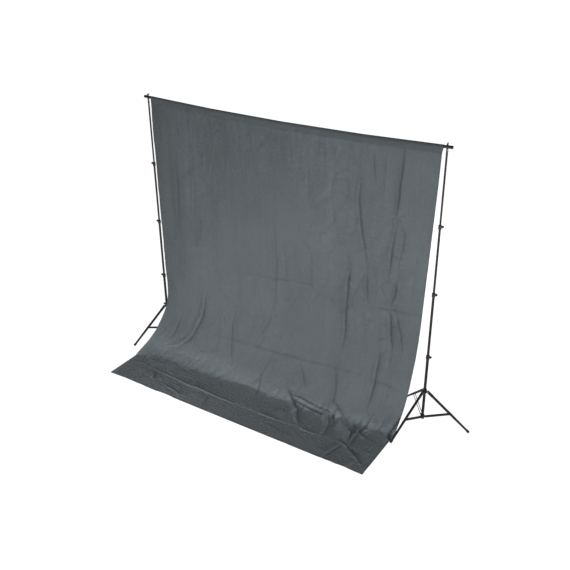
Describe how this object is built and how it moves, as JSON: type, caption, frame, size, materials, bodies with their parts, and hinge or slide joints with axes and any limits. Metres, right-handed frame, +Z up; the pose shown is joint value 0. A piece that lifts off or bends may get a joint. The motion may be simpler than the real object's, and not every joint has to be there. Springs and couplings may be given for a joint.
{
  "type": "background support system",
  "caption": "Two telescopic tripod stands carry a plug-together crossbar, from which a plain cloth backdrop hangs by a pole pocket and sweeps forward onto the floor.",
  "frame": {"origin": "on the floor, at the middle of the object's bounding box", "axes": "+X along the crossbar, to the right for a viewer in front; +Y to the back, so the drape's front faces -Y; +Z up"},
  "size_m": [3.6976, 1.2446, 2.6429],
  "materials": {
    "muslin": "plain-woven cotton muslin, matt, with soft creases",
    "bar_tube": "satin black anodised",
    "end_cap": "moulded black plastic",
    "spring_steel": "bright spring steel",
    "stud_metal": "turned, lightly worn",
    "wing_nut": "black, lightly worn on the wings",
    "stand_tube": "satin black anodised, with faint scratches",
    "collar_plastic": "moulded black nylon, fine grain",
    "knob_plastic": "moulded black plastic",
    "pin_steel": "bright rivet heads",
    "leg_metal": "satin black, pressed channel and strip",
    "foot_rubber": "black rubber"
  },
  "bodies": {
    "crossbar": {"bar_section_1": "bar_tube", "bar_section_2": "bar_tube", "bar_section_3": "bar_tube", "bar_section_4": "bar_tube", "bar_end_caps": "end_cap", "button_springs": "spring_steel", "backdrop": "muslin", "left_stud": "stud_metal", "right_stud": "stud_metal", "left_riser_3": "stand_tube", "right_riser_3": "stand_tube"},
    "left_riser_2": {"left_riser_2": "stand_tube", "left_collar_3": "collar_plastic"},
    "left_riser_1": {"left_riser_1": "stand_tube", "left_collar_2": "collar_plastic"},
    "left_base": {"left_base_tube": "stand_tube", "left_collar_1": "collar_plastic", "left_lower_yoke": "collar_plastic"},
    "left_hub": {"left_hub": "collar_plastic", "left_hub_pins": "pin_steel"},
    "left_knob_3": {"left_knob_3": "knob_plastic"},
    "left_knob_2": {"left_knob_2": "knob_plastic"},
    "left_knob_1": {"left_knob_1": "knob_plastic"},
    "left_hub_knob": {"left_hub_knob": "knob_plastic"},
    "left_wing_nut": {"left_wing_nut": "wing_nut"},
    "left_leg_a": {"left_leg_a": "leg_metal", "left_foot_a": "foot_rubber"},
    "left_brace_a": {"left_brace_a": "leg_metal"},
    "left_leg_b": {"left_leg_b": "leg_metal", "left_foot_b": "foot_rubber"},
    "left_brace_b": {"left_brace_b": "leg_metal"},
    "left_leg_c": {"left_leg_c": "leg_metal", "left_foot_c": "foot_rubber"},
    "left_brace_c": {"left_brace_c": "leg_metal"},
    "right_riser_2": {"right_riser_2": "stand_tube", "right_collar_3": "collar_plastic"},
    "right_riser_1": {"right_riser_1": "stand_tube", "right_collar_2": "collar_plastic"},
    "right_base": {"right_base_tube": "stand_tube", "right_collar_1": "collar_plastic", "right_lower_yoke": "collar_plastic"},
    "right_hub": {"right_hub": "collar_plastic", "right_hub_pins": "pin_steel"},
    "right_knob_3": {"right_knob_3": "knob_plastic"},
    "right_knob_2": {"right_knob_2": "knob_plastic"},
    "right_knob_1": {"right_knob_1": "knob_plastic"},
    "right_hub_knob": {"right_hub_knob": "knob_plastic"},
    "right_wing_nut": {"right_wing_nut": "wing_nut"},
    "right_leg_a": {"right_leg_a": "leg_metal", "right_foot_a": "foot_rubber"},
    "right_brace_a": {"right_brace_a": "leg_metal"},
    "right_leg_b": {"right_leg_b": "leg_metal", "right_foot_b": "foot_rubber"},
    "right_brace_b": {"right_brace_b": "leg_metal"},
    "right_leg_c": {"right_leg_c": "leg_metal", "right_foot_c": "foot_rubber"},
    "right_brace_c": {"right_brace_c": "leg_metal"},
    "spring_button_1": {"spring_button_1": "spring_steel"},
    "spring_button_2": {"spring_button_2": "spring_steel"},
    "spring_button_3": {"spring_button_3": "spring_steel"}
  },
  "joints": [
    {"name": "left_riser_3_slide", "type": "slide", "parent": "crossbar", "child": "left_riser_2", "axis": [0, 0, 1], "range_m": [0, 0.57]},
    {"name": "left_riser_2_slide", "type": "slide", "parent": "left_riser_2", "child": "left_riser_1", "axis": [0, 0, 1], "range_m": [0, 0.57]},
    {"name": "left_riser_1_slide", "type": "slide", "parent": "left_riser_1", "child": "left_base", "axis": [0, 0, 1], "range_m": [0, 0.57]},
    {"name": "left_hub_slide", "type": "slide", "parent": "left_base", "child": "left_hub", "axis": [0, 0, 1], "range_m": [0, 0.244]},
    {"name": "left_knob_3_turn", "type": "hinge", "parent": "left_riser_2", "child": "left_knob_3", "pos_m": [-1.60134, 0.28268, 1.955], "axis": [-1, 0, 0], "range_deg": [0, 360]},
    {"name": "left_knob_2_turn", "type": "hinge", "parent": "left_riser_1", "child": "left_knob_2", "pos_m": [-1.60134, 0.28268, 1.34], "axis": [-1, 0, 0], "range_deg": [0, 360]},
    {"name": "left_knob_1_turn", "type": "hinge", "parent": "left_base", "child": "left_knob_1", "pos_m": [-1.60134, 0.28268, 0.725], "axis": [-1, 0, 0], "range_deg": [0, 360]},
    {"name": "left_hub_knob_turn", "type": "hinge", "parent": "left_hub", "child": "left_hub_knob", "pos_m": [-1.60097, 0.27799, 0.3745], "axis": [-0.9877, -0.1564, 0], "range_deg": [0, 360]},
    {"name": "left_wing_nut_turn", "type": "hinge", "parent": "crossbar", "child": "left_wing_nut", "pos_m": [-1.57134, 0.28268, 2.63], "axis": [0, 0, 1], "range_deg": [0, 360]},
    {"name": "left_leg_a_fold", "type": "hinge", "parent": "left_hub", "child": "left_leg_a", "pos_m": [-1.54171, 0.28738, 0.3565], "axis": [-0.1564, 0.9877, 0], "range_deg": [0, 43.86]},
    {"name": "left_brace_a_fold", "type": "hinge", "parent": "left_base", "child": "left_brace_a", "pos_m": [-1.54171, 0.28738, 0.088], "axis": [0.1564, -0.9877, 0], "range_deg": [0, 64.68]},
    {"name": "left_leg_b_fold", "type": "hinge", "parent": "left_hub", "child": "left_leg_b", "pos_m": [-1.59022, 0.306, 0.3565], "axis": [-0.7771, -0.6293, 0], "range_deg": [0, 43.86]},
    {"name": "left_brace_b_fold", "type": "hinge", "parent": "left_base", "child": "left_brace_b", "pos_m": [-1.59022, 0.306, 0.088], "axis": [0.7771, 0.6293, 0], "range_deg": [0, 64.68]},
    {"name": "left_leg_c_fold", "type": "hinge", "parent": "left_hub", "child": "left_leg_c", "pos_m": [-1.5821, 0.25468, 0.3565], "axis": [0.9336, -0.3584, 0], "range_deg": [0, 43.86]},
    {"name": "left_brace_c_fold", "type": "hinge", "parent": "left_base", "child": "left_brace_c", "pos_m": [-1.5821, 0.25468, 0.088], "axis": [-0.9336, 0.3584, 0], "range_deg": [0, 64.68]},
    {"name": "right_riser_3_slide", "type": "slide", "parent": "crossbar", "child": "right_riser_2", "axis": [0, 0, 1], "range_m": [0, 0.57]},
    {"name": "right_riser_2_slide", "type": "slide", "parent": "right_riser_2", "child": "right_riser_1", "axis": [0, 0, 1], "range_m": [0, 0.57]},
    {"name": "right_riser_1_slide", "type": "slide", "parent": "right_riser_1", "child": "right_base", "axis": [0, 0, 1], "range_m": [0, 0.57]},
    {"name": "right_hub_slide", "type": "slide", "parent": "right_base", "child": "right_hub", "axis": [0, 0, 1], "range_m": [0, 0.244]},
    {"name": "right_knob_3_turn", "type": "hinge", "parent": "right_riser_2", "child": "right_knob_3", "pos_m": [1.45866, 0.28268, 1.955], "axis": [1, 0, 0], "range_deg": [0, 360]},
    {"name": "right_knob_2_turn", "type": "hinge", "parent": "right_riser_1", "child": "right_knob_2", "pos_m": [1.45866, 0.28268, 1.34], "axis": [1, 0, 0], "range_deg": [0, 360]},
    {"name": "right_knob_1_turn", "type": "hinge", "parent": "right_base", "child": "right_knob_1", "pos_m": [1.45866, 0.28268, 0.725], "axis": [1, 0, 0], "range_deg": [0, 360]},
    {"name": "right_hub_knob_turn", "type": "hinge", "parent": "right_hub", "child": "right_hub_knob", "pos_m": [1.44927, 0.26089, 0.3745], "axis": [0.6871, -0.7266, 0], "range_deg": [0, 360]},
    {"name": "right_wing_nut_turn", "type": "hinge", "parent": "crossbar", "child": "right_wing_nut", "pos_m": [1.42866, 0.28268, 2.63], "axis": [0, 0, 1], "range_deg": [0, 360]},
    {"name": "right_leg_a_fold", "type": "hinge", "parent": "right_hub", "child": "right_leg_a", "pos_m": [1.45784, 0.28964, 0.3565], "axis": [-0.2317, 0.9728, 0], "range_deg": [0, 43.86]},
    {"name": "right_brace_a_fold", "type": "hinge", "parent": "right_base", "child": "right_brace_a", "pos_m": [1.45784, 0.28964, 0.088], "axis": [0.2317, -0.9728, 0], "range_deg": [0, 64.68]},
    {"name": "right_leg_b_fold", "type": "hinge", "parent": "right_hub", "child": "right_leg_b", "pos_m": [1.40804, 0.30448, 0.3565], "axis": [-0.7266, -0.6871, 0], "range_deg": [0, 43.86]},
    {"name": "right_brace_b_fold", "type": "hinge", "parent": "right_base", "child": "right_brace_b", "pos_m": [1.40804, 0.30448, 0.088], "axis": [0.7266, 0.6871, 0], "range_deg": [0, 64.68]},
    {"name": "right_leg_c_fold", "type": "hinge", "parent": "right_hub", "child": "right_leg_c", "pos_m": [1.42009, 0.25393, 0.3565], "axis": [0.9583, -0.2857, 0], "range_deg": [0, 43.86]},
    {"name": "right_brace_c_fold", "type": "hinge", "parent": "right_base", "child": "right_brace_c", "pos_m": [1.42009, 0.25393, 0.088], "axis": [-0.9583, 0.2857, 0], "range_deg": [0, 64.68]},
    {"name": "spring_button_1_press", "type": "slide", "parent": "crossbar", "child": "spring_button_1", "axis": [0.0113, 0, 0.9999], "range_m": [0, 0.003], "stiffness_N_per_m": 300},
    {"name": "spring_button_2_press", "type": "slide", "parent": "crossbar", "child": "spring_button_2", "axis": [-0.0113, 0, 0.9999], "range_m": [0, 0.003], "stiffness_N_per_m": 300},
    {"name": "spring_button_3_press", "type": "slide", "parent": "crossbar", "child": "spring_button_3", "axis": [-0.0333, 0, 0.9994], "range_m": [0, 0.003], "stiffness_N_per_m": 300}
  ],
  "couplings": [
    {"joint": "left_leg_a_fold", "follows": "left_hub_slide", "rad_per_m": 3.1334},
    {"joint": "left_brace_a_fold", "follows": "left_hub_slide", "rad_per_m": 4.6231},
    {"joint": "left_leg_b_fold", "follows": "left_hub_slide", "rad_per_m": 3.1334},
    {"joint": "left_brace_b_fold", "follows": "left_hub_slide", "rad_per_m": 4.6231},
    {"joint": "left_leg_c_fold", "follows": "left_hub_slide", "rad_per_m": 3.1334},
    {"joint": "left_brace_c_fold", "follows": "left_hub_slide", "rad_per_m": 4.6231},
    {"joint": "right_leg_a_fold", "follows": "right_hub_slide", "rad_per_m": 3.1334},
    {"joint": "right_brace_a_fold", "follows": "right_hub_slide", "rad_per_m": 4.6231},
    {"joint": "right_leg_b_fold", "follows": "right_hub_slide", "rad_per_m": 3.1334},
    {"joint": "right_brace_b_fold", "follows": "right_hub_slide", "rad_per_m": 4.6231},
    {"joint": "right_leg_c_fold", "follows": "right_hub_slide", "rad_per_m": 3.1334},
    {"joint": "right_brace_c_fold", "follows": "right_hub_slide", "rad_per_m": 4.6231}
  ]
}
